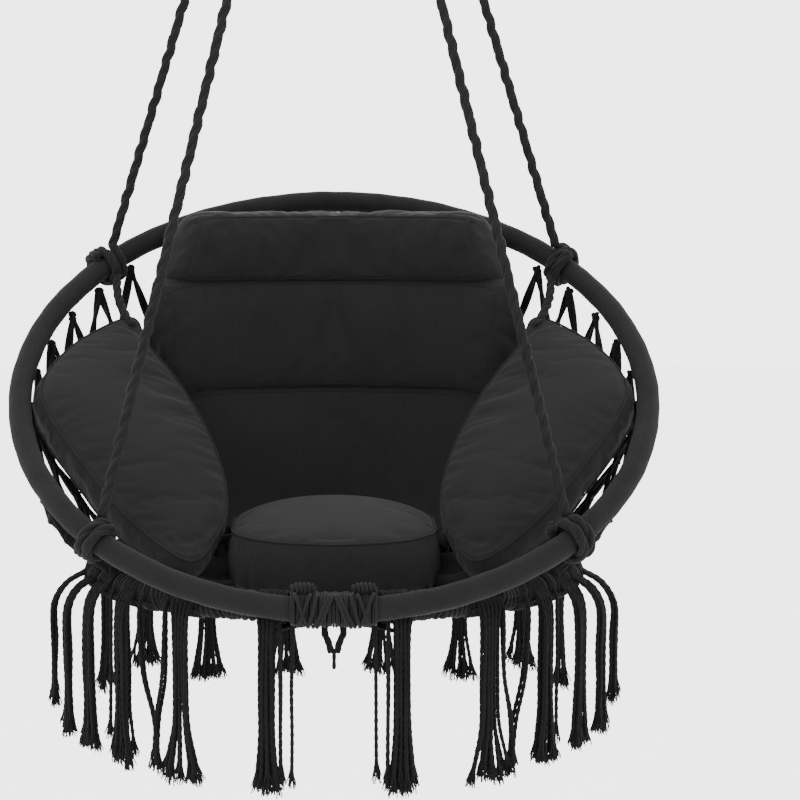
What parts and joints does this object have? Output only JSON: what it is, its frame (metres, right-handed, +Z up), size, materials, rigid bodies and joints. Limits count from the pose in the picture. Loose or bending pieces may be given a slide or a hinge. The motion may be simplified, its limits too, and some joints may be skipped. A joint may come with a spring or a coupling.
{
  "type": "hanging macrame chair",
  "caption": "Hanging macrame hammock chair: tilted corded ring, level seat ring, net, tied cushions, long fringe, and ropes that meet on a snap hook under a round ceiling plate.",
  "frame": {"origin": "centre of the ceiling plate on its ceiling face, in the plane of the ceiling", "axes": "+Z up into the ceiling along the anchors; the sitter faces -Y; +X is on the right of a person who looks at the chair's front"},
  "size_m": [0.7994, 0.6671, 1.6186],
  "materials": {
    "polished_steel": "polished stainless steel",
    "zinc_steel": "bright zinc-plated steel",
    "tube_steel": "black powder-coated steel tube, hidden under the wound cord",
    "cord_cotton": "black twisted cotton-blend cord",
    "cushion_cloth": "charcoal plain-weave cushion cloth",
    "fringe_cotton": "black soft cotton strands with frayed ends"
  },
  "bodies": {
    "ceiling_mount": {"ceiling_plate": "polished_steel", "plate_boss": "polished_steel", "plate_eye": "polished_steel", "anchor_sleeves": "zinc_steel", "anchor_studs": "zinc_steel", "flat_washers": "zinc_steel", "spring_washers": "zinc_steel", "anchor_nuts": "zinc_steel"},
    "snap_hook": {"snap_hook_body": "polished_steel"},
    "gate": {"snap_hook_gate": "polished_steel", "gate_pin": "zinc_steel"},
    "chair": {"rope_ring": "polished_steel", "rope_eyes": "cord_cotton", "rope_front_left": "cord_cotton", "rope_front_right": "cord_cotton", "rope_back_left": "cord_cotton", "rope_back_right": "cord_cotton", "hitch_front_left": "cord_cotton", "hitch_front_right": "cord_cotton", "hitch_back_left": "cord_cotton", "hitch_back_right": "cord_cotton", "upper_ring_tube": "tube_steel", "upper_ring_wrap": "cord_cotton", "lower_ring_tube": "tube_steel", "lower_ring_wrap": "cord_cotton", "front_lashings": "cord_cotton", "lashing_knots": "cord_cotton", "fringe_knots": "cord_cotton", "back_net": "cord_cotton", "seat_net": "cord_cotton", "back_cushion": "cushion_cloth", "side_cushion_left": "cushion_cloth", "side_cushion_right": "cushion_cloth", "seat_cushion": "cushion_cloth", "cushion_tie_left": "cushion_cloth", "cushion_tie_right": "cushion_cloth", "fringe_front": "fringe_cotton", "fringe_left": "fringe_cotton", "fringe_right": "fringe_cotton", "fringe_back": "fringe_cotton"}
  },
  "joints": [
    {"name": "hook_swing", "type": "hinge", "parent": "ceiling_mount", "child": "snap_hook", "pos_m": [0, 0, -0.041], "axis": [1, 0, 0], "range_deg": [-30, 30]},
    {"name": "gate_hinge", "type": "hinge", "parent": "snap_hook", "child": "gate", "pos_m": [0, -0.01548, -0.07829], "axis": [-1, 0, 0], "range_deg": [0, 25], "stiffness_Nm_per_rad": 0.08, "springref_deg": -14.32},
    {"name": "chair_swing", "type": "hinge", "parent": "snap_hook", "child": "chair", "pos_m": [0, 0, -0.1162], "axis": [0, 1, 0], "range_deg": [-25, 25]}
  ]
}
